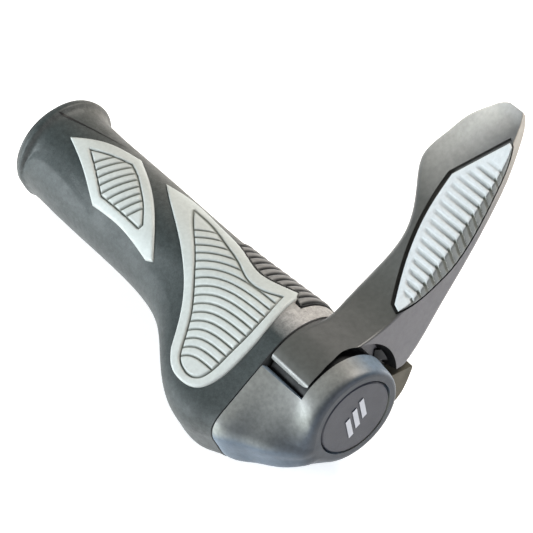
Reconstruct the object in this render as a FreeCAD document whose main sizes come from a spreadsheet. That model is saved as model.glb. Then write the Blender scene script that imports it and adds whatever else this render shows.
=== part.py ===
import FreeCAD, Part
import math
import os

import Sketcher
from FreeCAD import Placement, Rotation, Vector

# Bar end grip for the right-hand end of a flat handlebar.
# X runs along the bar, outboard. The origin is the centre of the bore's inboard mouth.
# Every piece is drawn in the horn's frame (Y along the horn, Z out of its top face) and
# then rolled about the bar by horn_rise, which gives +Y forward and +Z up.

doc = FreeCAD.newDocument("bar_end_grip")

# ---------------------------------------------------------------- driving dimensions
sheet = doc.addObject("Spreadsheet::Sheet", "sizes")
SIZES = [
    ("bore_radius", 11.15, "bore for a 22.2 mm bar"),
    ("bore_length", 136.4, "bore, mouth to the bar stop"),
    ("stop_radius", 9.5, "opening in the bar stop"),
    ("stop_depth", 0.8, "bar stop"),
    ("plug_bore", 11.4, "bore beyond the bar stop, for the end cap"),
    ("sleeve_radius", 13.2, "outside of the nylon sleeve"),
    ("sleeve_length", 143.0, "sleeve, flange face to outboard end"),
    ("flange_radius", 16.2, "inboard flange"),
    ("flange_depth", 0.9, "inboard flange thickness"),
    ("finger_slot", 1.6, "width of the slots that let the sleeve close on the bar"),
    ("finger_length", 22.0, "length of those slots"),
    ("seam_station", 121.4, "outboard end of the rubber"),
    ("housing_start", 121.8, "inboard end of the housing"),
    ("collar_start", 138.5, "outboard side of the housing's notch"),
    ("grip_length", 146.0, "bore mouth to end face"),
    ("cavity_radius", 16.4, "room for the clamp ring in the housing"),
    ("housing_wall", 2.4, "wall of the housing"),
    ("notch_top", 112.0, "notch edge above the bar, degrees from the horn"),
    ("notch_bottom", -106.0, "notch edge below the bar, degrees from the horn"),
    ("wing_lift", 9.3, "wing above the horn frame's -Y, degrees"),
    ("wing_square", 0.05, "how much squarer the wing's rim gets per mm of its reach"),
    ("horn_rise", 31.7, "horn above the horizontal, degrees"),
    ("ring_bore", 13.25, "bore of the clamp ring"),
    ("ring_radius", 16.0, "outside of the clamp ring"),
    ("ring_start", 122.6, "inboard face of the clamp ring"),
    ("ring_width", 15.2, "clamp ring along the bar"),
    ("hub_radius", 17.9, "cover over the clamp ring"),
    ("hub_start", 122.1, "inboard face of the cover's root"),
    ("hub_width", 15.9, "cover's root along the bar"),
    ("hub_top", 103.0, "upper edge of the cover's root, degrees"),
    ("hub_round", 1.6, "rounding of that edge"),
    ("arch_out", 0.5, "centre of the arch over the collar, along the horn"),
    ("arch_up", -3.0, "centre of the arch, out of the horn's top face"),
    ("arch_inner", 18.8, "radius of the arch at its floor"),
    ("arch_outer", 20.8, "radius of the arch at the root's outboard face"),
    ("arch_depth", 6.0, "arch, from that face to its floor"),
    ("rubber_clear", 19.5, "room round the rubber under the horn"),
    ("cover_skin", 2.4, "horn cover over the core"),
    ("split_angle", -38.0, "split in the clamp ring, degrees"),
    ("split_width", 2.0, "split in the clamp ring"),
    ("bolt_station", 130.2, "clamp bolt along the bar"),
    ("bolt_reach", 21.5, "clamp bolt from the bar's axis"),
    ("bolt_radius", 2.5, "M5"),
    ("bolt_length", 16.0, "under the head"),
    ("head_radius", 4.2, "bolt head"),
    ("head_depth", 4.0, "bolt head"),
    ("socket_flats", 4.0, "hexagon socket"),
    ("washer_radius", 4.7, "washer"),
    ("washer_depth", 1.0, "washer"),
    ("seat_distance", 8.0, "washer face from the split"),
    ("nut_flats", 8.0, "nut"),
    ("nut_depth", 4.0, "nut"),
    ("nut_distance", 3.2, "nut face from the split"),
    ("plug_radius", 12.35, "end cap"),
    ("plug_depth", 2.4, "end cap"),
    ("plug_spigot", 11.1, "spigot of the end cap"),
    ("spigot_length", 6.0, "spigot of the end cap"),
    ("seat_radius", 12.85, "recess for the end cap"),
    ("badge_proud", 0.25, "mark above the cap's face"),
    ("badge_depth", 0.8, "mark, in all"),
    ("plate_depth", 3.0, "wing plate"),
    ("insert_proud", 0.7, "grip inserts above the rubber"),
    ("insert_depth", 1.5, "grip inserts below the rubber"),
    ("pad_proud", 0.9, "horn pad above the cover"),
    ("pad_depth", 1.8, "horn pad below the cover"),
    ("screw_radius", 1.5, "housing screws"),
    ("screw_head", 2.8, "housing screws"),
    ("screw_length", 9.0, "housing screws"),
]
for row, (alias, value, meaning) in enumerate(SIZES, start=1):
    sheet.set("A%d" % row, alias)
    sheet.set("B%d" % row, str(value))
    sheet.set("C%d" % row, meaning)
    sheet.setAlias("B%d" % row, alias)
doc.recompute()


def size(alias):
    return float(sheet.get(alias))


L = size("grip_length")
ROLL = Placement(Vector(0, 0, 0), Rotation(Vector(1, 0, 0), size("horn_rise")))
parts = []


def keep(obj, label, placement=ROLL):
    """Names a finished piece and puts it in its place."""
    obj.Label = label
    obj.Placement = placement
    parts.append(obj)
    return obj


def feature(label, shape, placement=ROLL):
    """A sculpted piece, which has only a shape."""
    obj = doc.addObject("Part::Feature", label + "_piece")
    obj.Shape = shape
    return keep(obj, label, placement)


# ---------------------------------------------------------------- sketch helpers
def plane_of(body, role):
    return [item for item in body.Origin.OriginFeatures if item.Role == role][0]


def new_body(name):
    return doc.addObject("PartDesign::Body", name + "_body")


def new_sketch(body, role, name):
    sketch = body.newObject("Sketcher::SketchObject", name)
    sketch.AttachmentSupport = [(plane_of(body, role), "")]
    sketch.MapMode = "FlatFace"
    return sketch


def bind(sketch, kind, geometry, position, expression):
    """Ties one coordinate of a point to an expression on the sheet."""
    value = sketch.evalExpression(expression)
    value = float(getattr(value, "Value", value))
    index = sketch.addConstraint(Sketcher.Constraint(kind, -1, 1, geometry, position, value))
    sketch.setExpression("Constraints[%d]" % index, expression)


def polygon(body, role, name, corners):
    """A closed outline whose corners are pairs of expressions."""
    sketch = new_sketch(body, role, name)
    points = []
    for pair in corners:
        numbers = [sketch.evalExpression(text) for text in pair]
        points.append(Vector(*[float(getattr(n, "Value", n)) for n in numbers], 0))
    count = len(points)
    for i in range(count):
        sketch.addGeometry(Part.LineSegment(points[i], points[(i + 1) % count]), False)
    for i in range(count):
        sketch.addConstraint(Sketcher.Constraint("Coincident", i, 2, (i + 1) % count, 1))
    for i, (across, up) in enumerate(corners):
        bind(sketch, "DistanceX", i, 1, across)
        bind(sketch, "DistanceY", i, 1, up)
    return sketch


def circle(body, role, name, radius, across="0", up="0"):
    """A circle whose radius and centre are expressions."""
    sketch = new_sketch(body, role, name)
    sketch.addGeometry(Part.Circle(Vector(0, 0, 0), Vector(0, 0, 1), 1.0), False)
    index = sketch.addConstraint(Sketcher.Constraint("Radius", 0, 1.0))
    sketch.setExpression("Constraints[%d]" % index, radius)
    bind(sketch, "DistanceX", 0, 3, across)
    bind(sketch, "DistanceY", 0, 3, up)
    return sketch


def hexagon(body, role, name, flats):
    """A hexagon about the sketch's origin, across-flats given by an expression."""
    half = "(%s) / 2" % flats
    corner = "(%s) / sqrt(3)" % flats
    side = "(%s) / (2 * sqrt(3))" % flats
    corners = [(corner, "0"), (side, half), ("-%s" % side, half),
               ("-(%s)" % corner, "0"), ("-%s" % side, "-(%s)" % half), (side, "-(%s)" % half)]
    return polygon(body, role, name, corners)


def pad(body, sketch, length, name, reverse=False):
    item = body.newObject("PartDesign::Pad", name)
    item.Profile = sketch
    item.setExpression("Length", length)
    item.Reversed = reverse
    return item


def pocket(body, sketch, name, length=None, reverse=False, both=False):
    item = body.newObject("PartDesign::Pocket", name)
    item.Profile = sketch
    if length is None:
        item.Type = "ThroughAll"
    else:
        item.setExpression("Length", length)
    item.Midplane = both
    item.Reversed = reverse
    return item


def revolve(body, sketch, name):
    item = body.newObject("PartDesign::Revolution", name)
    item.Profile = sketch
    item.ReferenceAxis = (sketch, ["H_Axis"])
    item.Angle = 360.0
    return item


# ---------------------------------------------------------------- lofted sections
# Grip and housing: each section is the hull of a circle round the bar and a smaller,
# squarer rim out in the wing. Columns: station, bar circle, wing rim, distance between
# them, and how far the pair is moved towards the wing.
GRIP_STATIONS = [
    (0.9, 17.0, 15.9, 1.3, -0.6),
    (3.6, 17.2, 16.0, 1.4, -0.6),
    (8.5, 15.4, 14.7, 1.7, -0.1),
    (17, 15.2, 14.6, 1.8, 0),
    (40, 15.5, 14.5, 1.7, 0),
    (58, 15.6, 14.5, 1.9, 0),
    (70, 15.7, 14.3, 3.6, 0),
    (79, 15.9, 13.9, 6.9, 0),
    (86, 16.2, 13.6, 11.4, 0),
    (93, 16.7, 13.5, 16.4, 0),
    (101, 17.3, 13.6, 20.7, 0),
    (110, 18.0, 13.8, 22.6, 0),
    (116, 18.2, 13.6, 21.8, 0),
    (121.4, 18.1, 13.2, 20.2, 0),
]
HOUSING_STATIONS = [
    (121.8, 18.1, 13.1, 20.0, 0),
    (128, 18.1, 12.2, 18.3, 0),
    (134, 17.8, 11.0, 15.9, 0.2),
    (138.5, 17.2, 9.9, 14.0, 0.6),
    (142, 16.9, 8.9, 12.1, 0.7),
    (144.6, 16.3, 8.0, 10.6, 0.5),
    (145.7, 15.4, 7.5, 9.3, 0.2),
    (146, 14.4, 7.3, 8.3, 0),
]
RIM_STEPS = 12
LOFT_DEGREE = 3


def hull_section(station, bar, wing, reach, moved, grow):
    """Closed wire round the bar circle and the wing rim, both grown by the same amount."""
    lift = math.radians(size("wing_lift"))
    out = Vector(0, -math.cos(lift), math.sin(lift))
    side = Vector(0, math.sin(lift), math.cos(lift))
    touch = math.acos((bar - wing) / reach)
    power = 2 + size("wing_square") * reach
    bar, wing = bar + grow, wing + grow
    near = Vector(station, 0, 0) + out * moved
    far = near + out * reach

    def on_circle(centre, radius, angle):
        return centre + (out * math.cos(angle) + side * math.sin(angle)) * radius

    def on_rim(share):
        turn = math.pi / 2 * share
        stretch = (abs(math.cos(turn)) ** power + abs(math.sin(turn)) ** power) ** (-1 / power)
        return on_circle(far, wing * stretch, touch * share)

    top_near, low_near = on_circle(near, bar, touch), on_circle(near, bar, -touch)
    top_far, low_far = on_rim(1), on_rim(-1)
    shares = [i / RIM_STEPS for i in range(RIM_STEPS + 1)]
    rim = Part.BSplineCurve()
    rim.interpolate(Points=[on_rim(2 * share - 1) for share in shares], Parameters=shares,
                    InitialTangent=low_far - low_near, FinalTangent=top_near - top_far)
    edges = [
        Part.Arc(top_near, on_circle(near, bar, math.pi), low_near).toShape(),
        Part.LineSegment(low_near, low_far).toShape(),
        rim.toShape(),
        Part.LineSegment(top_far, top_near).toShape(),
    ]
    return Part.Wire(edges)


def loft(sections):
    return Part.makeLoft(sections, True, False, False, LOFT_DEGREE)


def hull_loft(stations, grow=0.0):
    return loft([hull_section(*row, grow) for row in stations])


# Horn: each section is a rounded quadrilateral whose crest is the top outboard corner.
# Columns: distance out along the horn, crest behind the end face, crest height,
# width of the top face, thickness under the crest.
HORN_STATIONS = [
    (4, 8.0, 17.3, 15.9, 31.6),
    (6.5, 8.0, 16.75, 15.9, 31.0),
    (9, 8.0, 15.6, 15.9, 30.4),
    (12, 8.0, 13.75, 16.0, 29.8),
    (18, 8.2, 9.9, 16.8, 27.4),
    (24, 8.8, 6.9, 18.5, 25.2),
    (31, 9.3, 5.2, 19.4, 22.4),
    (40, 9.8, 5.4, 18.6, 19.2),
    (50, 10.3, 6.8, 18.4, 16.4),
    (60, 11.3, 7.8, 22.9, 14.0),
    (67, 12.1, 8.5, 27.4, 12.2),
    (75, 13.1, 9.5, 26.9, 10.0),
    (83, 14.4, 11.0, 22.7, 7.6),
    (90, 16.2, 12.6, 16.6, 5.6),
    (94, 17.6, 13.6, 11.4, 4.2),
    (96.3, 18.8, 14.4, 6.2, 3.0),
]
ROOT_BLEND = 10
SPINE_STATIONS = HORN_STATIONS[:10]


def rounded(corners, radii):
    """Closed wire of straight runs joined by tangent arcs."""
    count = len(corners)
    cuts = []
    for i, corner in enumerate(corners):
        back = (corners[i - 1] - corner).normalize()
        ahead = (corners[(i + 1) % count] - corner).normalize()
        half = back.getAngle(ahead) / 2
        run = radii[i] / math.tan(half)
        middle = (back + ahead).normalize()
        deep = radii[i] / math.sin(half) - radii[i]
        cuts.append((corner + back * run, corner + middle * deep, corner + ahead * run))
    edges = []
    for i in range(count):
        edges.append(Part.Arc(*cuts[i]).toShape())
        edges.append(Part.LineSegment(cuts[i][2], cuts[(i + 1) % count][0]).toShape())
    return Part.Wire(edges)


def horn_section(out, behind, height, width, thick, grow):
    """One section across the horn; grow moves all four sides out, or in if negative."""
    crest_x = L - behind
    crest = Vector(crest_x + grow, out, height + grow)
    drop = 0.05 * width * min(1, max(0, (out - ROOT_BLEND) / ROOT_BLEND))
    inner = Vector(crest_x - width - grow, out, height - drop + grow)
    inner_low = Vector(crest_x - 0.93 * width - grow, out, height - drop - 0.72 * thick - grow)
    low = Vector(crest_x - 0.02 * width + grow, out, height - thick - grow)
    soft = min(0.34 * (min(0.72 * thick, width) + 2 * grow), 0.6 + 0.13 * out)
    radii = [0.2 * soft, soft, soft, 0.8 * soft]
    return rounded([crest, inner, inner_low, low], radii)


def horn_loft(stations, grow=0.0):
    return loft([horn_section(*row, grow) for row in stations])


# ---------------------------------------------------------------- prisms and wedges
def outline_face(runs, to_point):
    """Face inside runs of points: two points make a line, more make a smooth curve."""
    edges = []
    for run in runs:
        points = [to_point(*pair) for pair in run]
        if len(points) == 2:
            edges.append(Part.LineSegment(*points).toShape())
        else:
            curve = Part.BSplineCurve()
            curve.interpolate(points)
            edges.append(curve.toShape())
    return Part.Face(Part.Wire(edges))


def wedge(radius, low, high, start, end):
    """Sector of a cylinder round the bar, angles in degrees from the horn."""
    sector = Part.makeCylinder(radius, end - start, Vector(start, 0, 0), Vector(1, 0, 0), high - low)
    turned = sector.copy()
    first = turned.Vertexes
    angles = [math.degrees(math.atan2(v.Z, v.Y)) for v in first if math.hypot(v.Y, v.Z) > radius / 2]
    turned.rotate(Vector(0, 0, 0), Vector(1, 0, 0), low - sector_start(angles, high - low))
    return turned


def sector_start(angles, span):
    """The angle from which a sector with these corner angles opens."""
    first, last = min(angles), max(angles)
    if abs((last - first) - span % 360) < 1:
        return first
    return last


def tube(radius, start, end):
    return Part.makeCylinder(radius, end - start, Vector(start, 0, 0), Vector(1, 0, 0))


# ---------------------------------------------------------------- grip: core pieces
def core_sleeve():
    body = new_body("core_sleeve")
    profile = polygon(body, "XY_Plane", "sleeve_profile", [
        ("0", "sizes.bore_radius"),
        ("sizes.bore_length", "sizes.bore_radius"),
        ("sizes.bore_length", "sizes.stop_radius"),
        ("sizes.bore_length + sizes.stop_depth", "sizes.stop_radius"),
        ("sizes.bore_length + sizes.stop_depth", "sizes.plug_bore"),
        ("sizes.sleeve_length", "sizes.plug_bore"),
        ("sizes.sleeve_length", "sizes.sleeve_radius"),
        ("sizes.flange_depth", "sizes.sleeve_radius"),
        ("sizes.flange_depth", "sizes.flange_radius"),
        ("0", "sizes.flange_radius")])
    revolve(body, profile, "sleeve")
    doc.recompute()
    for number, role in ((1, "XY_Plane"), (2, "XZ_Plane")):
        cut = polygon(body, role, "finger_outline%d" % number, [
            ("sizes.sleeve_length - sizes.finger_length", "-sizes.finger_slot / 2"),
            ("sizes.sleeve_length + 1", "-sizes.finger_slot / 2"),
            ("sizes.sleeve_length + 1", "sizes.finger_slot / 2"),
            ("sizes.sleeve_length - sizes.finger_length", "sizes.finger_slot / 2")])
        pocket(body, cut, "finger_slots%d" % number, "4 * sizes.sleeve_radius", both=True)
        doc.recompute()
    return keep(body, "core_sleeve")


SCREW_STATIONS = (125.0, 130.5)
SCREW_REACH = 22.4
WING_ROLL = Placement(Vector(0, 0, 0), Rotation(Vector(1, 0, 0), size("horn_rise") - size("wing_lift")))


def wing_plate():
    """Flat stiffener from the sleeve out into the wing and on into the housing."""
    body = new_body("wing_plate")
    outline = polygon(body, "XY_Plane", "plate_outline", [
        ("72", "-sizes.sleeve_radius"), ("84", "-18"), ("94", "-26"), ("104", "-29.5"),
        ("118", "-29.5"), ("133", "-26"), ("133", "-18.4"), ("118", "-18.4"),
        ("118", "-sizes.sleeve_radius + 1"), ("72", "-sizes.sleeve_radius + 1")])
    plate = body.newObject("PartDesign::Pad", "plate")
    plate.Profile = outline
    plate.setExpression("Length", "sizes.plate_depth")
    plate.Midplane = True
    doc.recompute()
    bore = circle(body, "YZ_Plane", "plate_bore", "sizes.sleeve_radius")
    pocket(body, bore, "sleeve_seat", reverse=True)
    for number, station in enumerate(SCREW_STATIONS, start=1):
        hole = circle(body, "XY_Plane", "screw_hole%d" % number, "sizes.screw_radius",
                      "%g" % station, "%g" % -SCREW_REACH)
        pocket(body, hole, "screw_bore%d" % number, "4 * sizes.plate_depth", both=True)
    return keep(body, "wing_plate", WING_ROLL)


# ---------------------------------------------------------------- grip: rubber and inserts
def flat_on_top(x, y):
    return Vector(x, y, 0)


PALM_OUTLINE = [
    [(47, 13.4), (55, 14.9), (70, 14.9), (84, 14.0), (92, 12.6), (97, 12.2), (104, 13.6), (109.5, 15.4)],
    [(109.5, 15.4), (112, 13.5)],
    [(112, 13.5), (115.4, 2), (115.6, -10), (114.2, -19), (110.6, -24.5), (104.5, -26.2),
     (98, -24.8), (94, -21.4)],
    [(94, -21.4), (88.4, -12.8), (82.5, -6), (73.5, 1.2), (61.5, 7.4), (47, 13.4)],
]
THUMB_OUTLINE = [
    [(12.5, 4.2), (22.5, 10.9), (33.6, 13.7)],
    [(33.6, 13.7), (45, 10.2), (55, 5.2), (63, -1.4), (67.6, -6.6)],
    [(67.6, -6.6), (64.6, -7.9)],
    [(64.6, -7.9), (50, -5.8), (36.4, -6.6)],
    [(36.4, -6.6), (24.7, -0.2), (12.5, 4.2)],
]
FINGER_SPAN = (80.0, 116.0)
FINGER_ANGLES = (-78.0, 47.0)
FINGER_GAP = 0.4


def insert_shell():
    outer = hull_loft(GRIP_STATIONS, size("insert_proud"))
    return outer.cut(hull_loft(GRIP_STATIONS, -size("insert_depth")))


def insert(label, outline):
    prism = outline_face(outline, flat_on_top).extrude(Vector(0, 0, 30))
    return feature(label, insert_shell().common(prism))


def finger_insert():
    """Panel under the fingers, clear of the palm insert's front edge."""
    sector = wedge(40, *FINGER_ANGLES, *FINGER_SPAN)
    palm = outline_face(PALM_OUTLINE, flat_on_top).extrude(Vector(0, 0, 30))
    beside = palm.copy()
    beside.translate(Vector(0, FINGER_GAP, 0))
    panel = insert_shell().common(sector).cut([palm, beside])
    return feature("finger_insert", max(panel.Solids, key=lambda solid: solid.Volume))


def rubber_grip(inserts, plate):
    shape = hull_loft(GRIP_STATIONS).cut(tube(size("sleeve_radius"), -1, L))
    for piece in inserts:
        shape = shape.cut(local_shape(piece))
    shape = shape.cut(local_shape(plate))
    return feature("rubber_grip", max(shape.Solids, key=lambda solid: solid.Volume))


def local_shape(piece):
    """A piece's shape back in the horn's frame."""
    shape = piece.Shape.copy()
    shape.Placement = ROLL.inverse().multiply(shape.Placement)
    return shape


# ---------------------------------------------------------------- housing
def end_housing(plate, screws):
    start, collar = size("housing_start"), size("collar_start")
    shape = hull_loft(HOUSING_STATIONS)
    hollow = hull_loft(HOUSING_STATIONS[:4], -size("housing_wall"))
    shape = shape.cut(hollow.common(Part.makeBox(collar - start - 2, 80, 80, Vector(start - 1, -40, -40))))
    shape = shape.cut(tube(size("cavity_radius"), start - 1, collar))
    shape = shape.cut(tube(size("sleeve_radius"), start, size("sleeve_length")))
    shape = shape.cut(tube(size("plug_spigot") + 0.3, start, L + 1))
    shape = shape.cut(tube(size("seat_radius"), L - size("plug_depth") - 0.1, L + 1))
    shape = shape.cut(wedge(40, size("notch_bottom"), size("notch_top"), start - 1, collar))
    boss = Part.makeBox(10, 6.4, 30, Vector(SCREW_STATIONS[0] - 2.6, -SCREW_REACH - 3.2, -30))
    boss.rotate(Vector(0, 0, 0), Vector(1, 0, 0), -size("wing_lift"))
    top = Part.makeBox(60, 60, 60, Vector(100, -60, -size("plate_depth") / 2))
    top.rotate(Vector(0, 0, 0), Vector(1, 0, 0), -size("wing_lift"))
    boss = boss.common(hull_loft(HOUSING_STATIONS)).cut(top).cut(tube(size("cavity_radius"), start - 1, L))
    shape = shape.fuse(boss).cut(local_shape(plate)).cut(local_shape(screws))
    return feature("end_housing", max(shape.Solids, key=lambda solid: solid.Volume))


def housing_screws():
    """Two countersunk screws up through the housing into the wing plate."""
    solids = []
    for station in SCREW_STATIONS:
        top = Vector(station, -SCREW_REACH, size("plate_depth") / 2)
        shank = Part.makeCylinder(size("screw_radius"), size("screw_length"), top, Vector(0, 0, -1))
        under = top + Vector(0, 0, -size("screw_length"))
        head = Part.makeCone(size("screw_radius"), size("screw_head"), 1.7, under, Vector(0, 0, -1))
        slot = Part.makeBox(0.8, 8, 0.9, under + Vector(-0.4, -4, -1.7))
        solids.append(shank.fuse(head).removeSplitter().cut(slot))
    return feature("housing_screws", Part.makeCompound(solids), WING_ROLL)


# ---------------------------------------------------------------- end cap
def end_plug():
    body = new_body("end_plug")
    profile = polygon(body, "XY_Plane", "plug_profile", [
        ("sizes.grip_length - sizes.plug_depth - sizes.spigot_length", "0"),
        ("sizes.grip_length - sizes.badge_depth + sizes.badge_proud", "0"),
        ("sizes.grip_length - sizes.badge_depth + sizes.badge_proud", "sizes.plug_radius - 1.2"),
        ("sizes.grip_length", "sizes.plug_radius - 1.2"),
        ("sizes.grip_length", "sizes.plug_radius - 0.4"),
        ("sizes.grip_length - 0.4", "sizes.plug_radius"),
        ("sizes.grip_length - sizes.plug_depth", "sizes.plug_radius"),
        ("sizes.grip_length - sizes.plug_depth", "sizes.plug_spigot"),
        ("sizes.grip_length - sizes.plug_depth - sizes.spigot_length + 1", "sizes.plug_spigot"),
        ("sizes.grip_length - sizes.plug_depth - sizes.spigot_length", "sizes.plug_spigot - 1")])
    revolve(body, profile, "plug")
    return keep(body, "end_plug")


def badge_inlay():
    """Thin disc let into the cap's face, with three slanted raised bars as its mark."""
    body = new_body("badge_inlay")
    profile = polygon(body, "XY_Plane", "badge_profile", [
        ("sizes.grip_length - sizes.badge_depth + sizes.badge_proud", "0"),
        ("sizes.grip_length", "0"),
        ("sizes.grip_length", "sizes.plug_radius - 1.2"),
        ("sizes.grip_length - sizes.badge_depth + sizes.badge_proud", "sizes.plug_radius - 1.2")])
    revolve(body, profile, "disc")
    doc.recompute()
    for number, (low, high) in enumerate(((-4.6, 2.6), (-3.6, 3.6), (-2.6, 4.6)), start=1):
        left = 3.4 * (number - 2)
        bar = polygon(body, "YZ_Plane", "bar_outline%d" % number, [
            ("%g" % (left - 2.2), "%g" % low), ("%g" % (left - 0.4), "%g" % low),
            ("%g" % (left + 2.2), "%g" % high), ("%g" % (left + 0.4), "%g" % high)])
        pad(body, bar, "sizes.grip_length + sizes.badge_proud", "bar%d" % number)
        doc.recompute()
        trim = polygon(body, "YZ_Plane", "bar_trim%d" % number, [
            ("-9", "-9"), ("9", "-9"), ("9", "9"), ("-9", "9")])
        pocket(body, trim, "bar_base%d" % number,
               "sizes.grip_length - sizes.badge_depth + sizes.badge_proud", reverse=True)
        doc.recompute()
    return keep(body, "badge_inlay")


# ---------------------------------------------------------------- horn
def bolt_frame():
    """Local frame of the clamp bolt: origin on the split, Z along the bolt, up into the horn."""
    angle = math.radians(size("split_angle"))
    point = Vector(size("bolt_station"), size("bolt_reach") * math.cos(angle),
                   size("bolt_reach") * math.sin(angle))
    along = Vector(0, -math.sin(angle), math.cos(angle))
    return Placement(point, Rotation(Vector(1, 0, 0), math.degrees(math.atan2(-along.y, along.z))))


BOLT = bolt_frame()
EAR_OUTLINE = [
    [(9, -8.6), (21.8, -17.2)],
    [(21.8, -17.2), (22.5, -18.3), (21.9, -19.6)],
    [(21.9, -19.6), (18.7, -22.1), (15.2, -24.2), (11.6, -25.0)],
    [(11.6, -25.0), (6.8, -22.6), (3.4, -17.0)],
    [(3.4, -17.0), (2.8, -14.6)],
    [(2.8, -14.6), (9, -8.6)],
]


def in_bolt_frame(shape):
    shape.Placement = BOLT.multiply(shape.Placement)
    return shape


def root_face():
    """Station of the horn root's outboard face."""
    return size("hub_start") + size("hub_width")


def arch(deeper=0.0):
    """Arch cut into the horn's outboard face, round the housing's collar, widening outwards."""
    depth = size("arch_depth") + deeper
    spread = (size("arch_outer") - size("arch_inner")) / size("arch_depth")
    beyond = 8
    floor = Vector(root_face() - depth, size("arch_out"), size("arch_up"))
    low = size("arch_inner") + deeper * (1 - spread)
    high = size("arch_outer") + deeper + spread * beyond
    return Part.makeCone(low, high, depth + beyond, floor, Vector(1, 0, 0))


def rubber_side(deeper=0.0):
    """Room round the rubber, where the horn reaches inboard over the seam."""
    return tube(size("rubber_clear") + deeper, 60, size("hub_start") + deeper)


def horn_core():
    """Clamp ring with its split, two ears and the spine that runs up inside the horn."""
    start, width = size("ring_start"), size("ring_width")
    ring = tube(size("ring_radius"), start, start + width)
    ear = outline_face(EAR_OUTLINE, lambda y, z: Vector(start + 0.4, y, z))
    ear = ear.extrude(Vector(width - 0.8, 0, 0))
    skin = size("cover_skin")
    spine = horn_loft(SPINE_STATIONS, -skin).cut(arch(skin)).cut(rubber_side(skin))
    shape = ring.fuse([spine, ear]).cut(tube(size("ring_bore"), 0, L))
    reach = 2 * size("bolt_reach")
    split = Part.makeBox(60, reach, size("split_width"),
                         Vector(-30, -size("bolt_reach") + 6, -size("split_width") / 2))
    hole = Part.makeCylinder(size("bolt_radius") + 0.2, 40, Vector(0, 0, -20))
    seat = size("split_width") / 2 + size("seat_distance") - size("washer_depth")
    counterbore = Part.makeCylinder(size("washer_radius") + 0.35, 20, Vector(0, 0, -seat - 20))
    for tool in (split, hole, counterbore, nut_solid()):
        shape = shape.cut(in_bolt_frame(tool))
    return feature("horn_core", max(shape.Solids, key=lambda solid: solid.Volume))


def nut_solid():
    """Hexagon prism of the clamp nut, in the bolt's frame."""
    corner = size("nut_flats") / 2 / math.cos(math.radians(30))
    points = [Vector(corner * math.cos(math.radians(60 * i)), corner * math.sin(math.radians(60 * i)), 0)
              for i in range(7)]
    prism = Part.Face(Part.makePolygon(points)).extrude(Vector(0, 0, size("nut_depth")))
    prism.translate(Vector(0, 0, size("nut_distance")))
    return prism


PAD_NORMAL = Vector(0.567, 0, 0.824)
PAD_ACROSS = Vector(0.824, 0, -0.567)
PAD_OUTLINE = [
    [(88.7, -21.3), (70.6, -27.6)],
    [(70.6, -27.6), (58.2, -25.6), (47.1, -22.2), (37.5, -17.9), (30.7, -14.4)],
    [(30.7, -14.4), (29.4, -11.3)],
    [(29.4, -11.3), (36.4, -8.9), (44, -8.0), (50.1, -7.8), (57.2, -8.6), (65.9, -10.6),
     (75.1, -13.4), (81.5, -15.7), (87.2, -18.8)],
    [(87.2, -18.8), (88.7, -21.3)],
]


def on_pad(out, across):
    return Vector(L, 0, 0) + PAD_ACROSS * across + Vector(0, out, 0)


def horn_pad():
    prism = outline_face(PAD_OUTLINE, on_pad)
    prism.translate(PAD_NORMAL * -30)
    prism = prism.extrude(PAD_NORMAL * 50)
    floor = horn_loft(HORN_STATIONS)
    floor.translate(PAD_NORMAL * -size("pad_depth"))
    shape = horn_loft(HORN_STATIONS, size("pad_proud")).common(prism).cut(floor)
    return feature("horn_pad", max(shape.Solids, key=lambda solid: solid.Volume))


def on_line(edge, radius, angle):
    """Whether an edge runs along the bar at this distance from its axis and this angle."""
    place = Vector(0, math.cos(math.radians(angle)), math.sin(math.radians(angle))) * radius
    return all(math.hypot(v.Y - place.y, v.Z - place.z) < 0.01 for v in edge.Vertexes)


def horn_cover(core, pad_piece):
    hub = wedge(size("hub_radius"), -22, size("hub_top"), size("hub_start"), root_face())
    crest = [edge for edge in hub.Edges if on_line(edge, size("hub_radius"), size("hub_top"))]
    hub = hub.makeFillet(size("hub_round"), crest)
    shape = horn_loft(HORN_STATIONS).fuse(hub)
    shape = shape.cut(tube(size("ring_radius"), 0, L + 1))
    shape = shape.cut(arch()).cut(rubber_side())
    below = Part.makeBox(90, 120, 60, Vector(-45, -60, -60 + size("split_width") / 2))
    shape = shape.cut(in_bolt_frame(below).common(tube(34, 0, 2 * L)))
    for piece in (core, pad_piece):
        shape = shape.cut(local_shape(piece))
    hole = Part.makeCylinder(size("bolt_radius") + 0.2, 40, Vector(0, 0, -20))
    shape = shape.cut(in_bolt_frame(hole)).cut(in_bolt_frame(nut_solid()))
    return feature("horn_cover", max(shape.Solids, key=lambda solid: solid.Volume))


# ---------------------------------------------------------------- fasteners
def clamp_nut():
    body = new_body("clamp_nut")
    pad(body, hexagon(body, "XY_Plane", "nut_outline", "sizes.nut_flats"), "sizes.nut_depth", "nut")
    doc.recompute()
    bore = circle(body, "XY_Plane", "nut_bore", "sizes.bolt_radius + 0.05")
    pocket(body, bore, "thread", "4 * sizes.nut_depth", both=True)
    lift = Placement(Vector(0, 0, size("nut_distance")), Rotation(Vector(0, 0, 1), 0))
    return keep(body, "clamp_nut", ROLL.multiply(BOLT).multiply(lift))


def bolt_washer():
    body = new_body("bolt_washer")
    pad(body, circle(body, "XY_Plane", "washer_rim", "sizes.washer_radius"), "sizes.washer_depth", "disc")
    doc.recompute()
    bore = circle(body, "XY_Plane", "washer_bore", "sizes.bolt_radius + 0.2")
    pocket(body, bore, "bore", "4 * sizes.washer_depth", both=True)
    drop = Placement(Vector(0, 0, -size("split_width") / 2 - size("seat_distance")), Rotation())
    return keep(body, "bolt_washer", ROLL.multiply(BOLT).multiply(drop))


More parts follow.
